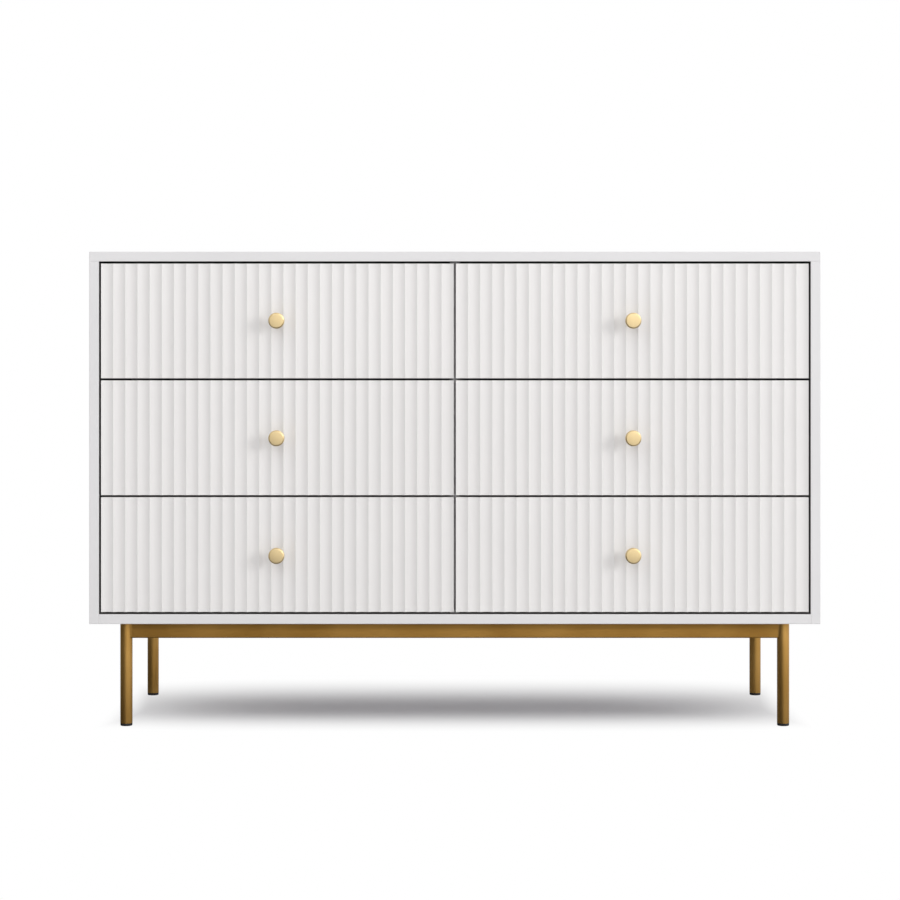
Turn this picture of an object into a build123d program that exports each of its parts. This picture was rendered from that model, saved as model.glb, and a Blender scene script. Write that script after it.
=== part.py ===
from build123d import *
import math
import os

# Six-drawer dresser: a white board carcass on a brass-coloured tube base, with fluted inset drawer fronts.
# Millimetres. X runs to the viewer's right, Y towards the wall, Z up. The floor is Z = 0.

# Carcass boards
carcass_width = 1200.0
carcass_depth = 400.0
carcass_height = 611.0
board = 16.0
eased_edge = 0.8
back_thickness = 5.0
back_inset = 8.0
back_groove_depth = 6.0
groove_play = 0.5

# Loose tongues glued into the carcass corners
tongue_thickness = 4.0
tongue_length = 280.0
tongue_in_face = 8.0
tongue_in_edge = 12.0
tongue_play = 0.1

# Drawer layout and fluted fronts
rows = ("top", "middle", "bottom")
columns = ("left", "right")
front_gap = 3.5
front_thickness = 18.0
flute_count = 29
flute_depth = 2.6

# Drawer boxes
box_height = 140.0
box_lift = 20.0
box_rear_room = 19.0
box_board = 12.0
front_housing_depth = 6.0
back_housing_depth = 4.0
bottom_thickness = 5.0
bottom_lift = 10.0
bottom_groove_depth = 5.0
joint_play = 0.1

# Ball-bearing runners, one each side of a drawer
runner_rear_room = 16.0
runner_setback = 3.0
runner_lift = 60.0
runner_sheet = 1.2
side_space = 12.7
rail_height = 35.0
rail_reach = 9.0
rail_lip = 2.5
slider_height = 23.0
slider_reach = 9.1
cage_length = 220.0
cage_sheet = 0.8
cage_arm_height = 13.4
cage_bar_width = 1.6
cage_bar_from_wall = 4.6
running_gap = 0.3

# Knobs
knob_diameter = 26.0
knob_head = 9.0
knob_projection = 26.0
knob_stem_diameter = 8.0
knob_seat_gap = 0.05

# Tube base
leg_height = 171.0
leg_diameter = 20.0
leg_wall = 1.5
leg_inset_side = 57.0
leg_inset_front = 30.0
rail_tube_height = 26.0
rail_tube_width = 12.0
rail_tube_wall = 1.5
weld_gap = 0.1
foot_height = 4.0
plate_side = 60.0
plate_thickness = 2.5
plate_corner_cut = 34.0

# Where the main planes lie; the floor origin is under the middle of the whole outline, knobs included
front_y = (knob_projection - carcass_depth) / 2
rear_y = front_y + carcass_depth
left_x = -carcass_width / 2
right_x = carcass_width / 2
under_z = leg_height
top_z = leg_height + carcass_height
floor_of_bays_z = under_z + board
roof_of_bays_z = top_z - board
inner_left_x = left_x + board
inner_right_x = right_x - board
back_front_y = rear_y - back_inset - back_thickness
front_back_y = front_y + front_thickness
divider_half = board / 2

# Sizes that follow from the driving ones
front_width = (inner_right_x - inner_left_x - (len(columns) + 1) * front_gap) / len(columns)
front_height = (roof_of_bays_z - floor_of_bays_z - (len(rows) + 1) * front_gap) / len(rows)
flute_pitch = front_width / flute_count
bay_width = (inner_right_x - inner_left_x - board) / len(columns)
box_width = bay_width - 2 * side_space
box_rear_y = back_front_y - box_rear_room
runner_front_y = front_back_y + runner_setback
runner_length = back_front_y - runner_rear_room - runner_front_y
leg_radius = leg_diameter / 2
leg_x = carcass_width / 2 - leg_inset_side
leg_front_y = front_y + leg_inset_front
leg_rear_y = rear_y - leg_inset_front
tiny = 0.01


def block(low, high):
    size = [b - a for a, b in zip(low, high)]
    middle = [(a + b) / 2 for a, b in zip(low, high)]
    return Pos(*middle) * Box(*size)


def rod(radius, length, start, direction):
    """A cylinder that runs from a start point along a direction."""
    return Plane(start, z_dir=direction) * Cylinder(
        radius, length, align=(Align.CENTER, Align.CENTER, Align.MIN)
    )


def eased(solid, chosen):
    """Breaks the sharp edges whose midpoints pass a test."""
    return chamfer([e for e in solid.edges() if chosen(e.center())], eased_edge)


# Carcass


def tongue_seats():
    """Where a board's edge meets a board's face: the point, and the way into the edge."""
    y = (front_y + back_front_y) / 2
    seats = []
    for x, way_in in ((inner_left_x, 1), (inner_right_x, -1)):
        seats.append(((x - way_in * board / 2, y, roof_of_bays_z), (0, 0, -1)))
        seats.append(((x, y, under_z + board / 2), (way_in, 0, 0)))
    seats.append(((0, y, roof_of_bays_z), (0, 0, -1)))
    seats.append(((0, y, floor_of_bays_z), (0, 0, 1)))
    return seats


def tongue(seat, play=0.0):
    """One loose tongue, or with play the groove that takes it."""
    point, into_edge = seat
    depth = tongue_in_face + tongue_in_edge + 2 * play
    strip = Box(
        tongue_thickness + 2 * play,
        tongue_length + 2 * play,
        depth,
        align=(Align.CENTER, Align.CENTER, Align.MIN),
    )
    start = Vector(*point) - Vector(*into_edge) * (tongue_in_face + play)
    across = (0, 0, 1) if into_edge[0] else (1, 0, 0)
    return Plane(start, x_dir=across, z_dir=into_edge) * strip


def back_groove():
    """The slot that the boards round the back panel share."""
    reach = back_groove_depth
    return block(
        (inner_left_x - reach, back_front_y, floor_of_bays_z - reach),
        (inner_right_x + reach, back_front_y + back_thickness, roof_of_bays_z + reach),
    )


def grooved(solid):
    """Cuts the tongue grooves and the back panel's groove into a carcass board."""
    for seat in tongue_seats():
        solid -= tongue(seat, tongue_play)
    return solid - back_groove()


def top_panel():
    plain = block((left_x, front_y, roof_of_bays_z), (right_x, rear_y, top_z))
    return grooved(eased(plain, lambda c: c.Y < front_y + tiny or c.Z > top_z - tiny))


def side_panel(x_outer, x_inner):
    low_x, high_x = sorted((x_outer, x_inner))
    plain = block((low_x, front_y, under_z), (high_x, rear_y, roof_of_bays_z))
    return grooved(eased(plain, lambda c: c.Y < front_y + tiny))


def bottom_panel():
    plain = block((inner_left_x, front_y, under_z), (inner_right_x, rear_y, floor_of_bays_z))
    return grooved(eased(plain, lambda c: c.Y < front_y + tiny and abs(c.X) < tiny))


def centre_divider():
    plain = block(
        (-divider_half, front_back_y + runner_setback, floor_of_bays_z),
        (divider_half, back_front_y, roof_of_bays_z),
    )
    return grooved(plain)


def back_panel():
    reach = back_groove_depth - groove_play
    return block(
        (inner_left_x - reach, back_front_y, floor_of_bays_z - reach),
        (inner_right_x + reach, back_front_y + back_thickness, roof_of_bays_z + reach),
    )


# Tube base


def leg(x, y):
    outer = rod(leg_radius, leg_height - foot_height, (x, y, foot_height), (0, 0, 1))
    return outer - rod(leg_radius - leg_wall, leg_height, (x, y, 0), (0, 0, 1))


def foot_cap(x, y):
    """A plastic disc that closes the tube's end and stands on the floor."""
    return rod(leg_radius, foot_height, (x, y, 0), (0, 0, 1))


def base_rail(start, end):
    """A rectangular tube between two leg centres, coped to the round legs at both ends."""
    along_x = start[1] == end[1]
    half = rail_tube_width / 2
    spread = (0, half) if along_x else (half, 0)
    low = [start[0] - spread[0], start[1] - spread[1], under_z - rail_tube_height]
    high = [end[0] + spread[0], end[1] + spread[1], under_z]
    wall = (0, rail_tube_wall) if along_x else (rail_tube_wall, 0)
    inner_low = (low[0] + wall[0], low[1] + wall[1], low[2] + rail_tube_wall)
    inner_high = (high[0] - wall[0], high[1] - wall[1], high[2] - rail_tube_wall)
    tube = block(low, high) - block(inner_low, inner_high)
    for x, y in (start, end):
        tube -= rod(leg_radius + weld_gap, leg_height, (x, y, 0), (0, 0, 1))
    return tube


def plate_corner(side_x, side_y):
    """The inner corner of two rails, where a fixing plate is welded."""
    x = side_x * (leg_x - rail_tube_width / 2)
    y = leg_front_y + rail_tube_width / 2 if side_y < 0 else leg_rear_y - rail_tube_width / 2
    return x, y


def corner_plate(side_x, side_y):
    x, y = plate_corner(side_x, side_y)
    reach, short = plate_side, plate_side - plate_corner_cut
    corners = [(0, 0), (reach, 0), (reach, short), (short, reach), (0, reach)]
    outline = [(x - side_x * u, y - side_y * v) for u, v in corners]
    plate = extrude(make_face(Polyline(*outline, close=True)), plate_thickness)
    plate = Pos(0, 0, under_z - plate_thickness) * plate
    return plate - rod(leg_radius + weld_gap, leg_height, leg_foot(side_x, side_y), (0, 0, 1))


def leg_foot(side_x, side_y):
    return side_x * leg_x, leg_front_y if side_y < 0 else leg_rear_y, 0


# Ball-bearing runners: sections lie across the drawer, from the cabinet wall (0) to the drawer side


def channel_face(upper):
    """A thin channel's section: the upper half out and back, then its mirror image below."""
    lower = [(u, -v) for u, v in reversed(upper)]
    return make_face(Polyline(*upper, *lower, close=True))


def cabinet_rail_section():
    """A channel screwed to the cabinet wall, with lips that hold the balls in."""
    top, inner = rail_height / 2, rail_height / 2 - runner_sheet
    lip_inner = rail_reach - runner_sheet
    upper = [
        (0, top),
        (rail_reach, top),
        (rail_reach, top - rail_lip),
        (lip_inner, top - rail_lip),
        (lip_inner, inner),
        (runner_sheet, inner),
    ]
    return channel_face(upper)


def slider_section():
    """The narrower channel on the drawer side, whose flanges run on the balls."""
    top, inner = slider_height / 2, slider_height / 2 - runner_sheet
    tip = side_space - slider_reach
    web = side_space - runner_sheet
    upper = [
        (side_space, top),
        (tip, top),
        (tip, inner),
        (web, inner),
    ]
    return channel_face(upper)


def cage_section():
    """The strip between the two channels that carries a row of balls above and below."""
    web_out = runner_sheet + running_gap
    web_in = web_out + cage_sheet
    bar_out = cage_bar_from_wall
    bar_in = cage_bar_from_wall + cage_bar_width
    bar_top = rail_height / 2 - runner_sheet - running_gap
    bar_foot = slider_height / 2 + running_gap
    arm_top, arm_foot = cage_arm_height + cage_sheet, cage_arm_height
    upper = [
        (web_out, arm_top),
        (bar_out, arm_top),
        (bar_out, bar_top),
        (bar_in, bar_top),
        (bar_in, bar_foot),
        (bar_out, bar_foot),
        (bar_out, arm_foot),
        (web_in, arm_foot),
    ]
    return channel_face(upper)


def runner_pair(section, y_start, length, bay_middle_x, z):
    """The same section on both sides of a bay, facing inwards."""
    strip = extrude(section, length)
    solids = []
    for side in (-1, 1):
        wall_x = bay_middle_x + side * bay_width / 2
        place = Plane((wall_x, y_start, z), x_dir=(-side, 0, 0), z_dir=(0, 1, 0))
        solids.append(place * strip)
    return solids


# Drawers


def fluted_blank(low_x, low_z):
    """A board whose face is a row of hollow flutes that meet in sharp ridges."""
    edges = []
    for i in range(flute_count):
        start = low_x + i * flute_pitch
        valley = (start + flute_pitch / 2, front_y + flute_depth)
        edges.append(ThreePointArc((start, front_y), valley, (start + flute_pitch, front_y)))
    high_x = low_x + front_width
    edges.append(
        Polyline((high_x, front_y), (high_x, front_back_y), (low_x, front_back_y), (low_x, front_y))
    )
    return Pos(0, 0, low_z) * extrude(make_face(edges), front_height)


def flute_rise(offset):
    """How far a flute's flank stands above its valley, at an offset from the middle."""
    radius = flute_pitch**2 / (8 * flute_depth) + flute_depth / 2
    return radius - math.sqrt(radius**2 - offset**2)


class Drawer:
    """Where one drawer's pieces lie, from its row and column."""

    def __init__(self, row, column):
        side = -1 if column == 0 else 1
        self.bay_x = side * (divider_half + bay_width / 2)
        self.front_x = inner_left_x + front_gap + column * (front_width + front_gap)
        rows_below = len(rows) - 1 - row
        self.front_z = floor_of_bays_z + front_gap + rows_below * (front_height + front_gap)
        self.knob_x = self.front_x + front_width / 2
        self.knob_z = self.front_z + front_height / 2
        self.box_z = self.front_z + box_lift
        self.box_top_z = self.box_z + box_height
        self.left_x = self.bay_x - box_width / 2
        self.right_x = self.bay_x + box_width / 2
        self.bottom_z = self.box_z + bottom_lift
        self.back_y = box_rear_y - box_board

    def bottom_board(self, reach, play=0.0):
        """The base board, or with play the groove that it sits in."""
        return block(
            (
                self.left_x + box_board - reach,
                front_back_y - reach,
                self.bottom_z - play,
            ),
            (
                self.right_x - box_board + reach,
                self.back_y + reach,
                self.bottom_z + bottom_thickness + play,
            ),
        )

    def groove(self):
        return self.bottom_board(bottom_groove_depth)

    def bottom(self):
        return self.bottom_board(bottom_groove_depth - groove_play)

    def side_board(self, outer_x, inner_x, play=0.0):
        low_x, high_x = sorted((outer_x, inner_x))
        start_y = front_back_y - front_housing_depth
        return block(
            (low_x - play, start_y, self.box_z - play),
            (high_x + play, box_rear_y, self.box_top_z + play),
        )

    def side_boards(self, play=0.0):
        left = self.side_board(self.left_x, self.left_x + box_board, play)
        right = self.side_board(self.right_x, self.right_x - box_board, play)
        return [left, right]

    def back_board(self, play=0.0):
        reach = back_housing_depth - box_board
        return block(
            (self.left_x - reach - play, self.back_y - play, self.box_z),
            (self.right_x + reach + play, box_rear_y, self.box_top_z),
        )

    def sides(self):
        housing = self.back_board(joint_play)
        return [board_side - self.groove() - housing for board_side in self.side_boards()]

    def back(self):
        return self.back_board() - self.groove()

    def front(self):
        front = fluted_blank(self.front_x, self.front_z)
        for housing in self.side_boards(joint_play):
            front -= housing
        return front - self.groove()

    def knob(self):
        """A turned knob that stands on the flanks of the middle flute."""
        knob_radius, stem_radius = knob_diameter / 2, knob_stem_diameter / 2
        face_y = front_y - knob_projection
        seat_y = front_y + flute_depth - flute_rise(stem_radius) - knob_seat_gap
        half_outline = [
            (0, face_y),
            (knob_radius, face_y),
            (knob_radius, face_y + knob_head),
            (stem_radius, face_y + knob_head),
            (stem_radius, seat_y),
            (0, seat_y),
        ]
        turned = revolve(make_face(Polyline(*half_outline, close=True)), Axis.Y)
        return Pos(self.knob_x, 0, self.knob_z) * turned

    def runner_z(self):
        return self.box_z + runner_lift

    def cabinet_rails(self):
        return runner_pair(
            cabinet_rail_section(), runner_front_y, runner_length, self.bay_x, self.runner_z()
        )

    def sliders(self):
        return runner_pair(
            slider_section(), runner_front_y, runner_length, self.bay_x, self.runner_z()
        )

    def ball_cages(self):
        start_y = runner_front_y + runner_length - cage_length
        return runner_pair(cage_section(), start_y, cage_length, self.bay_x, self.runner_z())


# Nodes


def carcass_nodes():
    return {
        "top_panel": [top_panel()],
        "bottom_panel": [bottom_panel()],
        "left_side_panel": [side_panel(left_x, inner_left_x)],
        "right_side_panel": [side_panel(right_x, inner_right_x)],
        "centre_divider": [centre_divider()],
        "back_panel": [back_panel()],
        "joint_tongues": [tongue(seat) for seat in tongue_seats()],
    }


def base_nodes():
    corners = {
        "front_left": (-leg_x, leg_front_y),
        "front_right": (leg_x, leg_front_y),
        "rear_left": (-leg_x, leg_rear_y),
        "rear_right": (leg_x, leg_rear_y),
    }
    nodes = {f"leg_{name}": [leg(*place)] for name, place in corners.items()}
    nodes["front_rail"] = [base_rail(corners["front_left"], corners["front_right"])]
    nodes["rear_rail"] = [base_rail(corners["rear_left"], corners["rear_right"])]
    nodes["side_rails"] = [
        base_rail(corners[f"front_{side}"], corners[f"rear_{side}"]) for side in columns
    ]
    nodes["corner_plates"] = [corner_plate(sx, sy) for sx in (-1, 1) for sy in (-1, 1)]
    nodes["foot_caps"] = [foot_cap(*place) for place in corners.values()]
    return nodes


def drawer_nodes():
    nodes = {"cabinet_runner_rails": []}
    for row, row_name in enumerate(rows):
        for column, column_name in enumerate(columns):
            drawer = Drawer(row, column)
            name = f"{row_name}_{column_name}"
            nodes["cabinet_runner_rails"] += drawer.cabinet_rails()
            nodes[f"{name}_drawer_front"] = [drawer.front()]
            nodes[f"{name}_drawer_sides"] = drawer.sides()
            nodes[f"{name}_drawer_back"] = [drawer.back()]
            nodes[f"{name}_drawer_bottom"] = [drawer.bottom()]
            nodes[f"{name}_knob"] = [drawer.knob()]
            nodes[f"{name}_drawer_sliders"] = drawer.sliders()
            nodes[f"{name}_ball_cages"] = drawer.ball_cages()
    return nodes


os.makedirs("parts", exist_ok=True)
for node, solids in {**carcass_nodes(), **base_nodes(), **drawer_nodes()}.items():
    export_step(Compound(children=solids), f"parts/{node}.step")
print("flute pitch", round(flute_pitch, 2), "front", round(front_width, 2), "by", round(front_height, 2))
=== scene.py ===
import math
import bmesh
import bpy
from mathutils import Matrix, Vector


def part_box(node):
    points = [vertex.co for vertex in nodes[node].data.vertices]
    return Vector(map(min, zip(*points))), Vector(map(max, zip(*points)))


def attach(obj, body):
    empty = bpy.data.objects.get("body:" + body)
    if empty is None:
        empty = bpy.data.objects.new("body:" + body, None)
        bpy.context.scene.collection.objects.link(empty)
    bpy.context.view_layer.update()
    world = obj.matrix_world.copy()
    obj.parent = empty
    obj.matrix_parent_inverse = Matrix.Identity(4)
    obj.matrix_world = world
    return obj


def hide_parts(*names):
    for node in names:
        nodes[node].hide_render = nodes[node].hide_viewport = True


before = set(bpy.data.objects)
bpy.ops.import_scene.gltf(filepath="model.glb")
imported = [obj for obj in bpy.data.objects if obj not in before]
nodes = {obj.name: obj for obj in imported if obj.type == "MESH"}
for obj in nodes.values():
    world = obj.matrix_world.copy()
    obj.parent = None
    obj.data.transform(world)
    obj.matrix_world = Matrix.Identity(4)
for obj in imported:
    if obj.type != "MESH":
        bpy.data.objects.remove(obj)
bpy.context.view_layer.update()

drawerNames = [f"{row}_{column}" for row in ("top", "middle", "bottom") for column in ("left", "right")]
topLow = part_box("top_panel")[0]
samePoint = 0.00001  # points nearer than this are merged


def hexColour(code):  # sRGB hex to linear RGBA
    channels = [int(code[i:i + 2], 16) / 255 for i in (0, 2, 4)]
    linear = [c / 12.92 if c <= 0.04045 else ((c + 0.055) / 1.055) ** 2.4 for c in channels]
    return (*linear, 1.0)


def addNode(tree, kind, settings=None, inputs=None):  # one node, with its settings, values and links
    node = tree.nodes.new(kind)
    for key, value in (settings or {}).items():
        setattr(node, key, value)
    for key, value in (inputs or {}).items():
        if isinstance(value, bpy.types.NodeSocket):
            tree.links.new(value, node.inputs[key])
        else:
            node.inputs[key].default_value = value
    return node


def newMaterial(name):
    material = bpy.data.materials.new(name)
    material.use_nodes = True
    material.node_tree.nodes.clear()
    return material, material.node_tree


def setRamp(ramp, *stops):  # each stop is a place and a hex colour
    for element, (place, code) in zip(ramp.color_ramp.elements, stops):
        element.position = place
        element.color = hexColour(code)


# satin polyurethane lacquer, sprayed on fibreboard: even soft white with a faint orange peel
def makeWhiteLacquer(name, body, shade, roughness, gapShade=None):
    look = {"cloud": 0.35, "peel": 0.0035}  # real peel is finer
    material, tree = newMaterial(name)
    place = addNode(tree, "ShaderNodeTexCoord").outputs["Object"]
    cloud = addNode(tree, "ShaderNodeTexNoise", inputs={
        "Vector": place, "Scale": 1 / look["cloud"], "Detail": 3.0})
    tint = addNode(tree, "ShaderNodeValToRGB", inputs={"Fac": cloud.outputs["Fac"]})
    setRamp(tint, (0.35, shade), (0.65, body))
    colour = tint.outputs["Color"]
    if gapShade:  # grey on the faces towards the drawers: painted shade that darkens the gaps round the fronts
        low = addNode(tree, "ShaderNodeVectorMath", {"operation": "SUBTRACT"}, {0: place, 1: gapShade["low"]})
        high = addNode(tree, "ShaderNodeVectorMath", {"operation": "SUBTRACT"}, {0: gapShade["high"], 1: place})
        room = addNode(tree, "ShaderNodeVectorMath", {"operation": "MINIMUM"}, {
            0: low.outputs[0], 1: high.outputs[0]})
        room = addNode(tree, "ShaderNodeSeparateXYZ", inputs={"Vector": room.outputs[0]})
        least = addNode(tree, "ShaderNodeMath", {"operation": "MINIMUM"}, {
            0: room.outputs["X"], 1: room.outputs["Y"]})
        least = addNode(tree, "ShaderNodeMath", {"operation": "MINIMUM"}, {
            0: least.outputs[0], 1: room.outputs["Z"]})
        shadedFaces = addNode(tree, "ShaderNodeMath", {"operation": "GREATER_THAN"}, {0: least.outputs[0], 1: 0.0})
        pearl = addNode(tree, "ShaderNodeTexNoise", inputs={
            "Vector": place, "Scale": 1 / gapShade["pearl"], "Detail": 3.0})
        grey = addNode(tree, "ShaderNodeValToRGB", inputs={"Fac": pearl.outputs["Fac"]})
        setRamp(grey, (0.3, gapShade["dark"]), (0.65, gapShade["grey"]))
        colour = addNode(tree, "ShaderNodeMix", {"data_type": "RGBA"}, {
            "Factor": shadedFaces.outputs[0], 6: colour, 7: grey.outputs["Color"]}).outputs[2]
    peel = addNode(tree, "ShaderNodeTexNoise", inputs={
        "Vector": place, "Scale": 1 / look["peel"], "Detail": 2.0})
    bump = addNode(tree, "ShaderNodeBump", inputs={
        "Height": peel.outputs["Fac"], "Strength": 0.12, "Distance": 0.0004})
    sheen = addNode(tree, "ShaderNodeMapRange", inputs={
        "Value": peel.outputs["Fac"], "To Min": roughness[0], "To Max": roughness[1]})
    shader = addNode(tree, "ShaderNodeBsdfPrincipled", inputs={
        "Base Color": colour, "Roughness": sheen.outputs["Result"], "Normal": bump.outputs["Normal"],
        "IOR": 1.5})
    addNode(tree, "ShaderNodeOutputMaterial", inputs={"Surface": shader.outputs["BSDF"]})
    return material


# melamine or paper foil, pressed on board: matt off-white print with a fine pearl grain
def makeMelamine(name, body, grain, roughness):
    look = {"pearl": 0.0022}  # drawn coarser than it is
    material, tree = newMaterial(name)
    place = addNode(tree, "ShaderNodeTexCoord").outputs["Object"]
    pearl = addNode(tree, "ShaderNodeTexNoise", inputs={
        "Vector": place, "Scale": 1 / look["pearl"], "Detail": 3.0})
    tint = addNode(tree, "ShaderNodeValToRGB", inputs={"Fac": pearl.outputs["Fac"]})
    setRamp(tint, (0.3, grain), (0.62, body))
    bump = addNode(tree, "ShaderNodeBump", inputs={
        "Height": pearl.outputs["Fac"], "Strength": 0.2, "Distance": 0.0003})
    shader = addNode(tree, "ShaderNodeBsdfPrincipled", inputs={
        "Base Color": tint.outputs["Color"], "Roughness": roughness, "Normal": bump.outputs["Normal"],
        "IOR": 1.5})
    addNode(tree, "ShaderNodeOutputMaterial", inputs={"Surface": shader.outputs["BSDF"]})
    return material


# brass-plated steel tube, brushed lengthwise: deep gold, its highlight spread across the fine drawn lines
def makeBrushedBrass(name, along, spread, body, worn):  # along is the axis of the tube, 0 to 2
    look = {"line": 0.0006, "run": 0.06, "patch": 0.09, "roughness": (0.38, 0.5)}  # real lines are finer
    material, tree = newMaterial(name)
    place = addNode(tree, "ShaderNodeTexCoord").outputs["Object"]
    scale = [1 / look["line"]] * 3
    scale[along] = 1 / look["run"]
    mapped = addNode(tree, "ShaderNodeMapping", inputs={"Vector": place, "Scale": scale})
    lines = addNode(tree, "ShaderNodeTexNoise", inputs={
        "Vector": mapped.outputs["Vector"], "Scale": 1.0, "Detail": 3.0})
    patch = addNode(tree, "ShaderNodeTexNoise", inputs={
        "Vector": place, "Scale": 1 / look["patch"], "Detail": 2.0})
    tint = addNode(tree, "ShaderNodeValToRGB", inputs={"Fac": patch.outputs["Fac"]})
    setRamp(tint, (0.35, worn), (0.65, body))
    gloss = addNode(tree, "ShaderNodeMapRange", inputs={
        "Value": lines.outputs["Fac"], "From Min": 0.3, "From Max": 0.7,
        "To Min": look["roughness"][0], "To Max": look["roughness"][1]})
    bump = addNode(tree, "ShaderNodeBump", inputs={
        "Height": lines.outputs["Fac"], "Strength": 0.15, "Distance": 0.0002})
    length = [0.0, 0.0, 0.0]
    length[along] = 1.0
    normal = addNode(tree, "ShaderNodeNewGeometry").outputs["Normal"]
    across = addNode(tree, "ShaderNodeVectorMath", {"operation": "CROSS_PRODUCT"}, {0: normal, 1: length})
    shader = addNode(tree, "ShaderNodeBsdfPrincipled", inputs={
        "Base Color": tint.outputs["Color"], "Metallic": 1.0, "Roughness": gloss.outputs["Result"],
        "Anisotropic": spread, "Tangent": across.outputs[0], "Normal": bump.outputs["Normal"]})
    addNode(tree, "ShaderNodeOutputMaterial", inputs={"Surface": shader.outputs["BSDF"]})
    return material


# turned brass, lacquered satin: pale gold with rings left by the lathe tool, drawn coarser than they are
def makeTurnedBrass():
    look = {"body": "e4cea0", "groove": "dac292", "ring": 0.0009, "roughness": (0.34, 0.42)}
    material, tree = newMaterial("satin_brass_turned")
    radius = addNode(tree, "ShaderNodeAttribute", {"attribute_name": "turnRadius"})
    turns = addNode(tree, "ShaderNodeMath", {"operation": "MULTIPLY"}, {
        0: radius.outputs["Fac"], 1: math.tau / look["ring"]})
    rings = addNode(tree, "ShaderNodeMath", {"operation": "SINE"}, {0: turns.outputs[0]})
    tint = addNode(tree, "ShaderNodeValToRGB", inputs={"Fac": rings.outputs[0]})
    setRamp(tint, (0.0, look["groove"]), (0.9, look["body"]))
    gloss = addNode(tree, "ShaderNodeMapRange", inputs={
        "Value": rings.outputs[0], "From Min": -1.0,
        "To Min": look["roughness"][1], "To Max": look["roughness"][0]})
    bump = addNode(tree, "ShaderNodeBump", inputs={
        "Height": rings.outputs[0], "Strength": 0.1, "Distance": 0.00005})
    shader = addNode(tree, "ShaderNodeBsdfPrincipled", inputs={
        "Base Color": tint.outputs["Color"], "Metallic": 1.0, "Roughness": gloss.outputs["Result"],
        "Normal": bump.outputs["Normal"]})
    addNode(tree, "ShaderNodeOutputMaterial", inputs={"Surface": shader.outputs["BSDF"]})
    return material


# bright zinc plate over rolled steel: cool grey with a faint yellow and blue bloom
def makeZincPlate():
    look = {"blue": "b4bac2", "straw": "c2beb2", "bloom": 0.03, "roughness": (0.24, 0.4)}
    mill = {"line": 0.0012, "run": 0.04}  # lines left by the rolling mill, drawn coarser than they are
    material, tree = newMaterial("zinc_plated_steel_rolled")
    place = addNode(tree, "ShaderNodeTexCoord").outputs["Object"]
    bloom = addNode(tree, "ShaderNodeTexNoise", inputs={
        "Vector": place, "Scale": 1 / look["bloom"], "Detail": 3.0})
    tint = addNode(tree, "ShaderNodeValToRGB", inputs={"Fac": bloom.outputs["Fac"]})
    setRamp(tint, (0.35, look["straw"]), (0.6, look["blue"]))
    mapped = addNode(tree, "ShaderNodeMapping", inputs={
        "Vector": place, "Scale": (1 / mill["line"], 1 / mill["run"], 1 / mill["line"])})
    lines = addNode(tree, "ShaderNodeTexNoise", inputs={
        "Vector": mapped.outputs["Vector"], "Scale": 1.0, "Detail": 2.0})
    gloss = addNode(tree, "ShaderNodeMapRange", inputs={
        "Value": lines.outputs["Fac"], "To Min": look["roughness"][0], "To Max": look["roughness"][1]})
    bump = addNode(tree, "ShaderNodeBump", inputs={
        "Height": lines.outputs["Fac"], "Strength": 0.1, "Distance": 0.0002})
    shader = addNode(tree, "ShaderNodeBsdfPrincipled", inputs={
        "Base Color": tint.outputs["Color"], "Metallic": 1.0, "Roughness": gloss.outputs["Result"],
        "Normal": bump.outputs["Normal"]})
    addNode(tree, "ShaderNodeOutputMaterial", inputs={"Surface": shader.outputs["BSDF"]})
    return material


# injection-moulded black polyethylene: dull black with a fine spark-eroded grain and grey scuffs; its black
# is darker than the plastic's own, painted shade for the contact shadow round the feet
def makeBlackPlastic():
    look = {
        "body": "08080a", "scuffed": "161618", "roughness": 0.7, "scuff": 0.012,
        "grain": 0.0011}  # drawn coarser than it is
    material, tree = newMaterial("black_polyethylene_moulded")
    place = addNode(tree, "ShaderNodeTexCoord").outputs["Object"]
    grain = addNode(tree, "ShaderNodeTexNoise", inputs={
        "Vector": place, "Scale": 1 / look["grain"], "Detail": 2.0})
    scuff = addNode(tree, "ShaderNodeTexNoise", inputs={
        "Vector": place, "Scale": 1 / look["scuff"], "Detail": 4.0})
    tint = addNode(tree, "ShaderNodeValToRGB", inputs={"Fac": scuff.outputs["Fac"]})
    setRamp(tint, (0.5, look["body"]), (0.75, look["scuffed"]))
    bump = addNode(tree, "ShaderNodeBump", inputs={
        "Height": grain.outputs["Fac"], "Strength": 0.3, "Distance": 0.0002})
    shader = addNode(tree, "ShaderNodeBsdfPrincipled", inputs={
        "Base Color": tint.outputs["Color"], "Roughness": look["roughness"],
        "Normal": bump.outputs["Normal"], "IOR": 1.51})
    addNode(tree, "ShaderNodeOutputMaterial", inputs={"Surface": shader.outputs["BSDF"]})
    return material


# birch plywood, sawn: pale veneer with grain running along the strip, drawn coarser than it is
def makeBirchPly():
    look = {"early": "dcbc8c", "late": "b98f5c", "line": 0.0015, "run": 0.06, "roughness": 0.7}
    material, tree = newMaterial("birch_plywood_sawn")
    place = addNode(tree, "ShaderNodeTexCoord").outputs["Object"]
    mapped = addNode(tree, "ShaderNodeMapping", inputs={
        "Vector": place, "Scale": (1 / look["line"], 1 / look["run"], 1 / look["line"])})
    grain = addNode(tree, "ShaderNodeTexNoise", inputs={
        "Vector": mapped.outputs["Vector"], "Scale": 1.0, "Detail": 4.0})
    tint = addNode(tree, "ShaderNodeValToRGB", inputs={"Fac": grain.outputs["Fac"]})
    setRamp(tint, (0.35, look["late"]), (0.65, look["early"]))
    shader = addNode(tree, "ShaderNodeBsdfPrincipled", inputs={
        "Base Color": tint.outputs["Color"], "Roughness": look["roughness"]})
    addNode(tree, "ShaderNodeOutputMaterial", inputs={"Surface": shader.outputs["BSDF"]})
    return material


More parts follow.
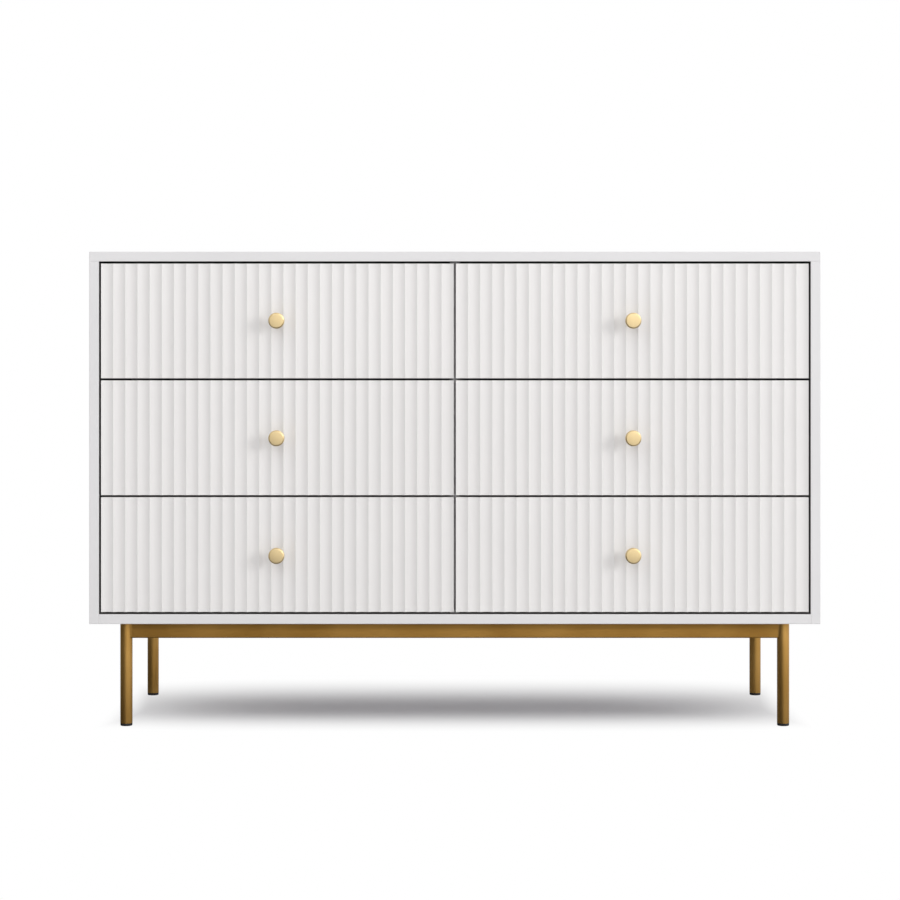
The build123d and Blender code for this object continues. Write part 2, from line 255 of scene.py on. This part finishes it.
cover = Vector((0.0005, -0.001, 0.0005))  # the painted gap shade takes in the inner faces, not the front edges
innerLow = Vector((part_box("left_side_panel")[1].x, topLow.y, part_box("bottom_panel")[1].z))
innerHigh = Vector((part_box("right_side_panel")[0].x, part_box("back_panel")[0].y, topLow.z))
# grey with a pearl grain on the carcass's inner faces: painted shade that darkens the gaps round the fronts
gapShade = {
    "low": innerLow - cover, "high": innerHigh + cover, "grey": "7f7d7b", "dark": "767472", "pearl": 0.0022}
boardWhite = ("e5e4e4", "e2e1e1", (0.55, 0.65))
whiteLacquer = makeWhiteLacquer("satin_white_lacquer_on_board", *boardWhite)
gapShadedLacquer = makeWhiteLacquer("satin_white_lacquer_with_painted_gap_shade", *boardWhite, gapShade)
# the fronts' white is lighter than the carcass's: painted light that brightens the fronts
litFrontLacquer = makeWhiteLacquer("satin_white_lacquer_on_flutes", "ebe9e7", "e8e6e4", (0.34, 0.44))
boxMelamine = makeMelamine("white_melamine_pressed", "ebe8e3", "e0dcd6", 0.5)
backFoil = makeMelamine("white_paper_foil_on_hardboard", "e9e6e1", "dedad3", 0.58)
# the legs' gold is lighter than the rails': painted light that brightens the legs and their welds
litLegBrass = makeBrushedBrass("brass_plated_steel_brushed_upright", 2, 0.3, "b18a4c", "a27c40")
railBrass = makeBrushedBrass("brass_plated_steel_brushed_across", 0, 0.85, "a67e40", "977035")
sideRailBrass = makeBrushedBrass("brass_plated_steel_brushed_deep", 1, 0.85, "a67e40", "977035")
turnedBrass = makeTurnedBrass()
zincPlate = makeZincPlate()
shadedBlackPlastic = makeBlackPlastic()
birchPly = makeBirchPly()
print("materials made")


def dress(name, material):  # a CAD node keeps its shape and gets a finish
    slots = nodes[name].data.materials
    slots.clear()
    slots.append(material)


for name in ("top_panel", "bottom_panel", "left_side_panel", "right_side_panel"):
    dress(name, gapShadedLacquer)
dress("centre_divider", whiteLacquer)
dress("back_panel", backFoil)
dress("joint_tongues", birchPly)
dress("corner_plates", railBrass)
dress("cabinet_runner_rails", zincPlate)
for drawer in drawerNames:
    dress(f"{drawer}_drawer_sides", boxMelamine)
    dress(f"{drawer}_drawer_back", boxMelamine)
    dress(f"{drawer}_drawer_bottom", backFoil)
    dress(f"{drawer}_drawer_sliders", zincPlate)
    dress(f"{drawer}_ball_cages", zincPlate)
print("CAD nodes dressed")


def addObject(name, data):
    added = bpy.data.objects.new(name, data)
    bpy.context.scene.collection.objects.link(added)
    return added


def newTree(name, inputs):  # an empty geometry tree with named inputs; Seats takes the carrier's points
    tree = bpy.data.node_groups.new(name, "GeometryNodeTree")
    for title, kind in {"Seats": "Geometry", **inputs}.items():
        tree.interface.new_socket(title, in_out="INPUT", socket_type=f"NodeSocket{kind}")
    tree.interface.new_socket("Geometry", in_out="OUTPUT", socket_type="NodeSocketGeometry")
    return tree, tree.nodes.new("NodeGroupInput").outputs


def closeTree(tree, geometry, finish):  # what the tree made becomes real, is coated and goes out
    real = addNode(tree, "GeometryNodeRealizeInstances", inputs={"Geometry": geometry})
    coated = addNode(tree, "GeometryNodeSetMaterial", inputs={
        "Geometry": real.outputs[0], "Material": finish})
    addNode(tree, "NodeGroupOutput", inputs={"Geometry": coated.outputs[0]})


def runTree(name, tree, values, seats=(), facing=()):  # evaluates a tree once and keeps the plain mesh
    points = bpy.data.meshes.new(name + "_seats")
    points.from_pydata(seats, [], [])
    if facing:
        ways = points.attributes.new("facing", "FLOAT_VECTOR", "POINT")
        ways.data.foreach_set("vector", [part for way in facing for part in way])
    carrier = addObject(name + "_carrier", points)
    modifier = carrier.modifiers.new("build", "NODES")
    modifier.node_group = tree
    for item in tree.interface.items_tree:
        if item.in_out == "INPUT" and item.name != "Seats":
            modifier[item.identifier] = values[item.name]
    evaluated = carrier.evaluated_get(bpy.context.evaluated_depsgraph_get())
    mesh = bpy.data.meshes.new_from_object(evaluated)
    bpy.data.objects.remove(carrier)
    shape = bmesh.new()
    shape.from_mesh(mesh)
    bmesh.ops.recalc_face_normals(shape, faces=shape.faces)
    shape.to_mesh(mesh)
    shape.free()
    mesh.name = name
    return addObject(name, mesh)


def standFor(piece, body, slot, *names):
    if names:
        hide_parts(*names)
    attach(piece, body)


# fluted fronts: one hollow arc repeated across the board, raised to its height and thickened backwards
flutedFront = {
    "flutes": 29, "depth": 0.0026, "arcPoints": 17, "sanded": 0.0004, "sandSteps": 2, "sandAngle": 40}


def makeFluteTree():
    tree, given = newTree("fluted_board", {
        "Flutes": "Int", "Pitch": "Float", "Flute Depth": "Float", "Arc Points": "Int",
        "Height": "Float", "Rear": "Float", "Low Corner": "Vector", "Finish": "Material"})
    half = addNode(tree, "ShaderNodeMath", {"operation": "MULTIPLY"}, {0: given["Pitch"], 1: 0.5})
    valley = addNode(tree, "ShaderNodeCombineXYZ", inputs={"X": half.outputs[0], "Y": given["Flute Depth"]})
    step = addNode(tree, "ShaderNodeCombineXYZ", inputs={"X": given["Pitch"]})
    arc = addNode(tree, "GeometryNodeCurveArc", {"mode": "POINTS"}, {
        "Resolution": given["Arc Points"],
        "Start": (0, 0, 0), "Middle": valley.outputs[0], "End": step.outputs[0]})
    row = addNode(tree, "GeometryNodeMeshLine", inputs={
        "Count": given["Flutes"], "Start Location": given["Low Corner"], "Offset": step.outputs[0]})
    hollows = addNode(tree, "GeometryNodeInstanceOnPoints", inputs={
        "Points": row.outputs["Mesh"], "Instance": arc.outputs["Curve"]})
    real = addNode(tree, "GeometryNodeRealizeInstances", inputs={"Geometry": hollows.outputs["Instances"]})
    outline = addNode(tree, "GeometryNodeCurveToMesh", inputs={"Curve": real.outputs[0]})
    outline = addNode(tree, "GeometryNodeMergeByDistance", inputs={
        "Geometry": outline.outputs[0], "Distance": samePoint})
    rise = addNode(tree, "ShaderNodeCombineXYZ", inputs={"Z": given["Height"]})
    face = addNode(tree, "GeometryNodeExtrudeMesh", {"mode": "EDGES"}, {
        "Mesh": outline.outputs[0], "Offset": rise.outputs[0], "Offset Scale": 1.0})
    body = addNode(tree, "GeometryNodeExtrudeMesh", inputs={
        "Mesh": face.outputs["Mesh"], "Offset Scale": 0.0, "Individual": False})
    place = addNode(tree, "GeometryNodeInputPosition")
    spot = addNode(tree, "ShaderNodeSeparateXYZ", inputs={"Vector": place.outputs[0]})
    rear = addNode(tree, "ShaderNodeCombineXYZ", inputs={
        "X": spot.outputs["X"], "Y": given["Rear"], "Z": spot.outputs["Z"]})
    body = addNode(tree, "GeometryNodeSetPosition", inputs={
        "Geometry": body.outputs["Mesh"], "Selection": body.outputs["Top"], "Position": rear.outputs[0]})
    board = addNode(tree, "GeometryNodeJoinGeometry", inputs={"Geometry": face.outputs["Mesh"]})
    tree.links.new(body.outputs[0], board.inputs["Geometry"])
    board = addNode(tree, "GeometryNodeMergeByDistance", inputs={
        "Geometry": board.outputs[0], "Distance": samePoint})
    smooth = addNode(tree, "GeometryNodeSetShadeSmooth", inputs={
        "Geometry": board.outputs[0], "Shade Smooth": True})
    closeTree(tree, smooth.outputs[0], given["Finish"])
    return tree


fluteTree = makeFluteTree()
for drawer in drawerNames:
    low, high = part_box(f"{drawer}_drawer_front")
    front = runTree(f"{drawer}_fluted_front", fluteTree, {
        "Flutes": flutedFront["flutes"], "Pitch": (high.x - low.x) / flutedFront["flutes"],
        "Flute Depth": flutedFront["depth"], "Arc Points": flutedFront["arcPoints"],
        "Height": high.z - low.z, "Rear": high.y, "Low Corner": low, "Finish": litFrontLacquer})
    sanding = front.modifiers.new("sanded_edges", "BEVEL")  # ridges and ends lose their sharp edge
    sanding.width = flutedFront["sanded"]
    sanding.segments = flutedFront["sandSteps"]
    sanding.limit_method = "ANGLE"
    sanding.angle_limit = math.radians(flutedFront["sandAngle"])
    sanding.harden_normals = True
    standFor(front, f"{drawer}_drawer", "fluted_lacquered_front", f"{drawer}_drawer_front")
print("fluted fronts made")


def finishMesh(name, shape, material, crease=32):  # a bmesh becomes a smooth piece, its sharp edges kept
    bmesh.ops.recalc_face_normals(shape, faces=shape.faces)
    for face in shape.faces:
        face.smooth = True
    for edge in shape.edges:
        edge.smooth = len(edge.link_faces) == 2 and edge.calc_face_angle(0) < math.radians(crease)
    mesh = bpy.data.meshes.new(name)
    shape.to_mesh(mesh)
    shape.free()
    mesh.materials.append(material)
    return addObject(name, mesh)


def joinRings(shape, rings):  # skins neighbouring rings of points; a ring of one point is a pole
    for first, second in zip(rings, rings[1:]):
        for i in range(max(len(first), len(second))):
            j = i + 1
            corners = [first[i % len(first)], first[j % len(first)]]
            corners += [second[j % len(second)], second[i % len(second)]]
            unique = list(dict.fromkeys(corners))
            if len(unique) > 2:
                shape.faces.new(unique)


def turn(shape, profile, middle, axis, segments):  # a lathe: profile is (radius, distance along the axis)
    layers = shape.verts.layers.float
    radiusLayer = layers.get("turnRadius") or layers.new("turnRadius")
    rings = []
    for radius, along in profile:
        ring = []
        for i in range(segments if radius > 0 else 1):
            angle = math.tau * i / segments
            side, up = radius * math.cos(angle), radius * math.sin(angle)
            spot = (side, along, up) if axis == "Y" else (side, up, along)
            vert = shape.verts.new(Vector(spot) + Vector(middle))
            vert[radiusLayer] = radius
            ring.append(vert)
        rings.append(ring)
    joinRings(shape, rings)


def rounded(points, radius, steps=4, share=0.45):  # inner corners become arcs, within a share of each side
    result = [points[0]]
    for before, here, after in zip(points, points[1:], points[2:]):
        a, b, c = Vector(before), Vector(here), Vector(after)
        reach = min(radius, (a - b).length * share, (c - b).length * share)
        start, end = b + (a - b).normalized() * reach, b + (c - b).normalized() * reach
        for i in range(steps + 1):
            t = i / steps
            result.append(tuple(start.lerp(b, t).lerp(b.lerp(end, t), t)))
    return result + [points[-1]]


# knobs: a thick disc with a bevelled rim on a short stem
knob = {"bevel": 0.0016, "soft": 0.0004, "head": 0.009, "stemRadius": 0.004, "segments": 80}
for drawer in drawerNames:
    low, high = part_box(f"{drawer}_knob")
    radius = (high.x - low.x) / 2
    headY = low.y + knob["head"]
    outline = [
        (0, low.y), (radius - knob["bevel"], low.y), (radius, low.y + knob["bevel"]), (radius, headY),
        (knob["stemRadius"], headY), (knob["stemRadius"], high.y), (0, high.y)]
    middle = ((low.x + high.x) / 2, 0, (low.z + high.z) / 2)
    shape = bmesh.new()
    turn(shape, rounded(outline, knob["soft"]), middle, "Y", knob["segments"])
    piece = finishMesh(f"{drawer}_turned_knob", shape, turnedBrass)
    standFor(piece, f"{drawer}_drawer", "satin_brass", f"{drawer}_knob")
print("knobs turned")


# legs: round tube with a broken edge at the foot, on moulded feet
leg = {"wall": 0.0015, "soft": 0.0005, "segments": 64}
foot = {"edge": 0.0009, "draft": 0.0003}
legLow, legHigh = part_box("leg_front_left")
legRadius = (legHigh.x - legLow.x) / 2
legBore = legRadius - leg["wall"]
tube = [(legBore, legHigh.z), (legBore, legLow.z), (legRadius, legLow.z), (legRadius, legHigh.z)]
tube.append(tube[0])
cup = [(0, 0), (legRadius - foot["draft"], 0), (legRadius, legLow.z), (0, legLow.z)]
legMiddles = {}
footShape = bmesh.new()
for name in ("leg_front_left", "leg_front_right", "leg_rear_left", "leg_rear_right"):
    low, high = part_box(name)
    legMiddles[name] = Vector(((low.x + high.x) / 2, (low.y + high.y) / 2, 0))
    shape = bmesh.new()
    turn(shape, rounded(tube, leg["soft"]), legMiddles[name], "Z", leg["segments"])
    bmesh.ops.remove_doubles(shape, verts=shape.verts, dist=samePoint)
    standFor(finishMesh(f"{name}_tube", shape, litLegBrass), "cabinet", "brass_finished_steel", name)
    turn(footShape, rounded(cup, foot["edge"]), legMiddles[name], "Z", leg["segments"])
standFor(finishMesh("moulded_feet", footShape, shadedBlackPlastic), "cabinet", "black_plastic", "foot_caps")
print("legs and feet turned")


# base rails: rectangular tube with rolled corners, its ends coped and welded to the round legs
baseRail = {"corner": 0.0018, "cornerSteps": 5, "weld": 0.0011, "weldSides": 8, "weldCrease": 60}


def railOutline(width, height, radius, steps):
    outline = []
    for quarter, (u, v) in enumerate(((1, 1), (-1, 1), (-1, -1), (1, -1))):
        for i in range(steps + 1):
            angle = (quarter + i / steps) * math.pi / 2
            side = u * (width / 2 - radius) + radius * math.cos(angle)
            up = v * (height / 2 - radius) + radius * math.sin(angle)
            outline.append((side, up))
    return outline


def layRail(shape, welds, start, end, width, height, topZ):
    along = (end - start).normalized()
    across = Vector((along.y, -along.x, 0))
    outline = railOutline(width, height, baseRail["corner"], baseRail["cornerSteps"])
    rings, poles = [], []
    for spot, way in ((start, along), (end, -along)):
        places = []
        for u, v in outline:
            reach = math.sqrt(legRadius ** 2 - u ** 2)  # the cope follows the leg's round wall
            places.append(spot + way * reach + across * u + Vector((0, 0, topZ - height / 2 + v)))
        rings.append([shape.verts.new(place) for place in places])
        poles.append([shape.verts.new(spot + way * legRadius + Vector((0, 0, topZ - height / 2)))])
        layWeld(welds, places, way, topZ)
    joinRings(shape, [poles[0], *rings, poles[1]])


def layWeld(welds, places, way, topZ):  # a small bead round the coped end
    middle = sum(places, Vector()) / len(places)
    rings = []
    for place in places:
        out = place - middle
        out = (out - way * out.dot(way)).normalized()
        ring = []
        for i in range(baseRail["weldSides"]):
            angle = math.tau * i / baseRail["weldSides"]
            spot = place + (out * math.cos(angle) + way * math.sin(angle)) * baseRail["weld"]
            spot.z = min(spot.z, topZ)
            ring.append(welds.verts.new(spot))
        rings.append(ring)
    joinRings(welds, rings + rings[:1])


low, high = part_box("front_rail")
railSpan = (high.y - low.y, high.z - low.z, high.z)
weldShape = bmesh.new()
for name, ends, material in (
        ("front_rail", (("front_left", "front_right"),), railBrass),
        ("rear_rail", (("rear_left", "rear_right"),), railBrass),
        ("side_rails", (("front_left", "rear_left"), ("front_right", "rear_right")), sideRailBrass)):
    shape = bmesh.new()
    for start, end in ends:
        layRail(shape, weldShape, legMiddles["leg_" + start], legMiddles["leg_" + end], *railSpan)
    standFor(finishMesh(f"{name}_tube", shape, material), "cabinet", "brass_finished_steel", name)
welds = finishMesh("plated_welds", weldShape, litLegBrass, baseRail["weldCrease"])
standFor(welds, "cabinet", "brass_finished_steel")
print("base rails laid")


# balls of the runners: four rows in each pair of cages
runnerBalls = {
    "radius": 0.0023, "segments": 10, "rings": 6, "fromWall": 0.0054, "fromMiddle": 0.0139, "count": 12,
    "margin": 0.011}


def makeBallTree():
    tree, given = newTree("rows_of_balls", {
        "Count": "Int", "Step": "Vector", "Radius": "Float", "Segments": "Int", "Rings": "Int",
        "Finish": "Material"})
    row = addNode(tree, "GeometryNodeMeshLine", inputs={"Count": given["Count"], "Offset": given["Step"]})
    rows = addNode(tree, "GeometryNodeInstanceOnPoints", inputs={
        "Points": given["Seats"], "Instance": row.outputs["Mesh"]})
    spots = addNode(tree, "GeometryNodeRealizeInstances", inputs={"Geometry": rows.outputs["Instances"]})
    ball = addNode(tree, "GeometryNodeMeshUVSphere", inputs={
        "Segments": given["Segments"], "Rings": given["Rings"], "Radius": given["Radius"]})
    smooth = addNode(tree, "GeometryNodeSetShadeSmooth", inputs={
        "Geometry": ball.outputs["Mesh"], "Shade Smooth": True})
    balls = addNode(tree, "GeometryNodeInstanceOnPoints", inputs={
        "Points": spots.outputs[0], "Instance": smooth.outputs[0]})
    closeTree(tree, balls.outputs["Instances"], given["Finish"])
    return tree


# screws: pan heads with a cross recess, cut by two bars that lie half in the head
screwHead = {
    "Radius": 0.0038, "Top Radius": 0.0028, "Height": 0.0018, "Sides": 20,
    "Slot": (0.0040, 0.0009, 0.0020), "Slot Across": (0.0009, 0.0040, 0.0020), "Finish": zincPlate}


def makeScrewTree():
    tree, given = newTree("cross_head_screws", {
        "Radius": "Float", "Top Radius": "Float", "Height": "Float", "Sides": "Int",
        "Slot": "Vector", "Slot Across": "Vector", "Finish": "Material"})
    head = addNode(tree, "GeometryNodeMeshCone", inputs={
        "Vertices": given["Sides"], "Radius Top": given["Top Radius"], "Radius Bottom": given["Radius"],
        "Depth": given["Height"]})
    top = addNode(tree, "ShaderNodeCombineXYZ", inputs={"Z": given["Height"]})
    bars = []
    for title in ("Slot", "Slot Across"):
        bar = addNode(tree, "GeometryNodeMeshCube", inputs={"Size": given[title]})
        bar = addNode(tree, "GeometryNodeTransform", inputs={
            "Geometry": bar.outputs["Mesh"], "Translation": top.outputs[0]})
        bars.append(bar.outputs[0])
    cut = addNode(tree, "GeometryNodeMeshBoolean", {"operation": "DIFFERENCE", "solver": "EXACT"}, {
        "Mesh 1": head.outputs["Mesh"], "Mesh 2": bars[0]})
    tree.links.new(bars[1], cut.inputs["Mesh 2"])
    way = addNode(tree, "GeometryNodeInputNamedAttribute", {"data_type": "FLOAT_VECTOR"}, {"Name": "facing"})
    turned = addNode(tree, "FunctionNodeAlignRotationToVector", {"axis": "Z"}, {
        "Vector": way.outputs["Attribute"]})
    heads = addNode(tree, "GeometryNodeInstanceOnPoints", inputs={
        "Points": given["Seats"], "Instance": cut.outputs["Mesh"], "Rotation": turned.outputs[0]})
    closeTree(tree, heads.outputs["Instances"], given["Finish"])
    return tree


ballTree = makeBallTree()
screwTree = makeScrewTree()
runnerScrews = {"sheet": 0.0012, "sideSpace": 0.0127, "shares": (0.1, 0.5, 0.86), "flush": 0.0016}
dividerLow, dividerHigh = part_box("centre_divider")
bottomLow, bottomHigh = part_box("bottom_panel")
bayWalls = {"left": (bottomLow.x, dividerLow.x), "right": (dividerHigh.x, bottomHigh.x)}
cabinetSeats, cabinetFacing = [], []
for drawer in drawerNames:
    walls = tuple(zip(bayWalls[drawer.split("_")[1]], (1, -1)))  # each wall's place and the way into the bay
    cageLow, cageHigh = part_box(f"{drawer}_ball_cages")
    middleZ = (cageLow.z + cageHigh.z) / 2
    rowStart = cageLow.y + runnerBalls["margin"]
    rowStep = (cageHigh.y - cageLow.y - 2 * runnerBalls["margin"]) / (runnerBalls["count"] - 1)
    starts = []
    for wall, inward in walls:
        for level in (-1, 1):
            x = wall + inward * runnerBalls["fromWall"]
            starts.append((x, rowStart, middleZ + level * runnerBalls["fromMiddle"]))
    balls = runTree(f"{drawer}_runner_balls", ballTree, {
        "Count": runnerBalls["count"], "Step": (0, rowStep, 0), "Radius": runnerBalls["radius"],
        "Segments": runnerBalls["segments"], "Rings": runnerBalls["rings"], "Finish": zincPlate}, starts)
    standFor(balls, f"{drawer}_cages", "zinc_plated_steel")
    sliderLow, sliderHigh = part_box(f"{drawer}_drawer_sliders")
    knobLow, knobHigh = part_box(f"{drawer}_knob")
    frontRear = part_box(f"{drawer}_drawer_front")[1].y
    seats = [((knobLow.x + knobHigh.x) / 2, frontRear, (knobLow.z + knobHigh.z) / 2)]
    facing = [(0, 1, 0)]
    for wall, inward in walls:
        for share in runnerScrews["shares"]:
            y = sliderLow.y + share * (sliderHigh.y - sliderLow.y)
            seats.append((wall + inward * (runnerScrews["sideSpace"] - runnerScrews["sheet"]), y, middleZ))
            facing.append((-inward, 0, 0))
            # countersunk in the cabinet rail, so that only the face shows and the cage clears it
            cabinetSeats.append((wall + inward * (runnerScrews["sheet"] - runnerScrews["flush"]), y, middleZ))
            cabinetFacing.append((inward, 0, 0))
    heads = runTree(f"{drawer}_drawer_screws", screwTree, screwHead, seats, facing)
    standFor(heads, f"{drawer}_drawer", "zinc_plated_steel")
plateScrews = {"inset": 0.017, "spread": 0.016, "plate": 0.0025}
for name, spot in legMiddles.items():
    inX, inY = -math.copysign(1, spot.x), 1 if "front" in name else -1
    for along, aside in ((1, 0), (0, 1)):
        x = spot.x + inX * (plateScrews["inset"] + along * plateScrews["spread"])
        y = spot.y + inY * (plateScrews["inset"] + aside * plateScrews["spread"])
        cabinetSeats.append((x, y, bottomLow.z - plateScrews["plate"]))
        cabinetFacing.append((0, 0, -1))
heads = runTree("cabinet_screws", screwTree, screwHead, cabinetSeats, cabinetFacing)
standFor(heads, "cabinet", "zinc_plated_steel")
print("balls and screws set")


# floor: white away from the dresser, with the dresser's own shadow kept under it
stage = {"floor": "d0cfd2", "floorSize": 40, "floorRoughness": 0.9}
# the shadow fades in front of its low line and behind its high line, and stops at the legs
shadow = {
    "low": (0, 0.01, 0), "lowFade": (0.77, 0.245, 1), "high": (0, 0.03, 0), "highFade": (0.77, 0.38, 1),
    "ends": (2.35, 1, 1), "stop": (0.49, 0.595)}


def makeFloor():
    bpy.ops.mesh.primitive_plane_add(size=stage["floorSize"], location=(0, 0, 0))
    floor = bpy.context.object
    floor.name = "studio_floor"
    material, tree = newMaterial("pale_studio_floor")
    shader = addNode(tree, "ShaderNodeBsdfPrincipled", inputs={
        "Base Color": hexColour(stage["floor"]), "Roughness": stage["floorRoughness"]})
    path = addNode(tree, "ShaderNodeLightPath")
    seen = addNode(tree, "ShaderNodeMath", {"operation": "MAXIMUM"}, {
        0: path.outputs["Is Camera Ray"], 1: path.outputs["Is Glossy Ray"]})
    seen = addNode(tree, "ShaderNodeMath", {"operation": "MAXIMUM"}, {
        0: seen.outputs[0], 1: path.outputs["Is Transmission Ray"]})
    place = addNode(tree, "ShaderNodeTexCoord").outputs["Object"]
    sides = []
    for further, nearer, fade in (
            (place, shadow["high"], shadow["highFade"]), (shadow["low"], place, shadow["lowFade"])):
        past = addNode(tree, "ShaderNodeVectorMath", {"operation": "SUBTRACT"}, {0: further, 1: nearer})
        past = addNode(tree, "ShaderNodeVectorMath", {"operation": "MAXIMUM"}, {
            0: past.outputs[0], 1: (0, 0, 0)})
        past = addNode(tree, "ShaderNodeVectorMath", {"operation": "DIVIDE"}, {0: past.outputs[0], 1: fade})
        sides.append(past.outputs[0])
    away = addNode(tree, "ShaderNodeVectorMath", {"operation": "ADD"}, {0: sides[0], 1: sides[1]})
    away = addNode(tree, "ShaderNodeVectorMath", {"operation": "POWER"}, {
        0: away.outputs[0], 1: shadow["ends"]})
    away = addNode(tree, "ShaderNodeVectorMath", {"operation": "LENGTH"}, {0: away.outputs[0]})
    white = addNode(tree, "ShaderNodeMapRange", {"interpolation_type": "SMOOTHSTEP"}, {
        "Value": away.outputs["Value"]})
    aside = addNode(tree, "ShaderNodeSeparateXYZ", inputs={"Vector": place})
    aside = addNode(tree, "ShaderNodeMath", {"operation": "ABSOLUTE"}, {0: aside.outputs["X"]})
    stop = addNode(tree, "ShaderNodeMapRange", {"interpolation_type": "SMOOTHSTEP"}, {
        "Value": aside.outputs[0], "From Min": shadow["stop"][0], "From Max": shadow["stop"][1]})
    white = addNode(tree, "ShaderNodeMath", {"operation": "MAXIMUM"}, {
        0: white.outputs["Result"], 1: stop.outputs["Result"]})
    white = addNode(tree, "ShaderNodeMath", {"operation": "MULTIPLY"}, {
        0: seen.outputs[0], 1: white.outputs[0]})
    glow = addNode(tree, "ShaderNodeEmission", inputs={"Strength": 1.0})
    clear = addNode(tree, "ShaderNodeBsdfTransparent")  # past the shadow the metal shows the studio
    glow = addNode(tree, "ShaderNodeMixShader", inputs={
        "Fac": path.outputs["Is Glossy Ray"], 1: glow.outputs[0], 2: clear.outputs[0]})
    both = addNode(tree, "ShaderNodeMixShader", inputs={
        "Fac": white.outputs[0], 1: shader.outputs[0], 2: glow.outputs[0]})
    addNode(tree, "ShaderNodeOutputMaterial", inputs={"Surface": both.outputs[0]})
    floor.data.materials.append(material)


# surround: white to the camera, even light on the boards, and for gloss a studio that is bright on the right
# a height here is the upward part of a direction; a band has two heights and the share of light at each
surround = {
    "ambient": 0.7, "dim": 0.28, "bright": 1.6, "towards": (0.9135, -0.4067, 0), "edge": (0.1, 0.32),
    "sink": (-0.14, -0.095), "drop": 0.16,  # the dim side reaches further round near the floor
    "above": (0.35, 0.75), "aboveShare": 0.35,  # some light from above on the dim side
    "bands": (  # dark at the ground, and lifted from a low height to a middle one
        (0.2, 0.45, 1.0, 2.8), (0.48, 0.68, 1.0, 1 / 2.8), (-0.215, -0.13, 0.12, 1.0))}


def makeSurround():
    world = bpy.data.worlds.new("studio")
    bpy.context.scene.world = world
    world.use_nodes = True
    tree = world.node_tree
    tree.nodes.clear()
    path = addNode(tree, "ShaderNodeLightPath")
    seen = addNode(tree, "ShaderNodeMath", {"operation": "MAXIMUM"}, {
        0: path.outputs["Is Camera Ray"], 1: path.outputs["Is Transmission Ray"]})
    level = addNode(tree, "ShaderNodeMapRange", inputs={
        "Value": seen.outputs[0], "To Min": surround["ambient"], "To Max": 1.0})
    way = addNode(tree, "ShaderNodeTexCoord").outputs["Generated"]
    up = addNode(tree, "ShaderNodeSeparateXYZ", inputs={"Vector": way}).outputs["Z"]
    side = addNode(tree, "ShaderNodeVectorMath", {"operation": "DOT_PRODUCT"}, {
        0: way, 1: surround["towards"]})
    sink = addNode(tree, "ShaderNodeMapRange", inputs={
        "Value": up, "From Min": surround["sink"][0], "From Max": surround["sink"][1],
        "To Min": -surround["drop"], "To Max": 0.0})
    side = addNode(tree, "ShaderNodeMath", {"operation": "ADD"}, {
        0: side.outputs["Value"], 1: sink.outputs["Result"]})
    right = addNode(tree, "ShaderNodeMapRange", {"interpolation_type": "SMOOTHSTEP"}, {
        "Value": side.outputs[0], "From Min": surround["edge"][0], "From Max": surround["edge"][1]})
    above = addNode(tree, "ShaderNodeMapRange", {"interpolation_type": "SMOOTHSTEP"}, {
        "Value": up, "From Min": surround["above"][0], "From Max": surround["above"][1],
        "To Max": surround["aboveShare"]})
    share = addNode(tree, "ShaderNodeMath", {"operation": "MAXIMUM"}, {
        0: right.outputs["Result"], 1: above.outputs["Result"]})
    studio = addNode(tree, "ShaderNodeMapRange", inputs={
        "Value": share.outputs[0], "To Min": surround["dim"], "To Max": surround["bright"]}).outputs["Result"]
    for start, end, before, after in surround["bands"]:
        band = addNode(tree, "ShaderNodeMapRange", {"interpolation_type": "SMOOTHSTEP"}, {
            "Value": up, "From Min": start, "From Max": end, "To Min": before, "To Max": after})
        studio = addNode(tree, "ShaderNodeMath", {"operation": "MULTIPLY"}, {
            0: studio, 1: band.outputs["Result"]}).outputs[0]
    strength = addNode(tree, "ShaderNodeMapRange", inputs={
        "Value": path.outputs["Is Glossy Ray"], "To Min": level.outputs["Result"], "To Max": studio})
    glow = addNode(tree, "ShaderNodeBackground", inputs={
        "Color": (1, 1, 1, 1), "Strength": strength.outputs["Result"]})
    addNode(tree, "ShaderNodeOutputWorld", inputs={"Surface": glow.outputs[0]})


makeFloor()
makeSurround()
softboxes = {
    "key_from_right": {"spot": (6.0, -4.4, 2.3), "aim": (0.0, -0.1, 0.45), "size": 2.4, "watts": 155},
    "fill_from_above": {"spot": (-0.4, -2.8, 2.8), "aim": (0, -0.2, 0.35), "size": 4.0, "watts": 36}}
for name, box in softboxes.items():
    light = bpy.data.lights.new(name, "AREA")
    light.shape = "SQUARE"
    light.size = box["size"]
    light.energy = box["watts"]
    lamp = addObject(name, light)
    lamp.location = box["spot"]
    lamp.rotation_euler = (Vector(box["aim"]) - Vector(box["spot"])).to_track_quat("-Z", "Y").to_euler()
    lamp.visible_glossy = False  # gloss shows the studio instead

# camera: stands where the photograph was taken; its axis is the pixel that it looks straight at
view = {
    "distance": 3.707, "height": 0.608, "side": -0.013, "lens": 90.38, "sensor": 36,
    "axisX": 446.9, "axisY": 357.7, "picture": 900}
lens = bpy.data.cameras.new("catalogue_camera")
lens.lens = view["lens"]
lens.sensor_width = view["sensor"]
lens.sensor_fit = "HORIZONTAL"
lens.shift_x = (view["picture"] / 2 - view["axisX"]) / view["picture"]
lens.shift_y = (view["axisY"] - view["picture"] / 2) / view["picture"]
camera = addObject("catalogue_camera", lens)
camera.location = (view["side"], topLow.y - view["distance"], view["height"])
camera.rotation_euler = (math.pi / 2, 0, 0)
bpy.context.scene.camera = camera
bpy.context.scene.view_settings.view_transform = "Standard"
print("stage, lights and camera set")
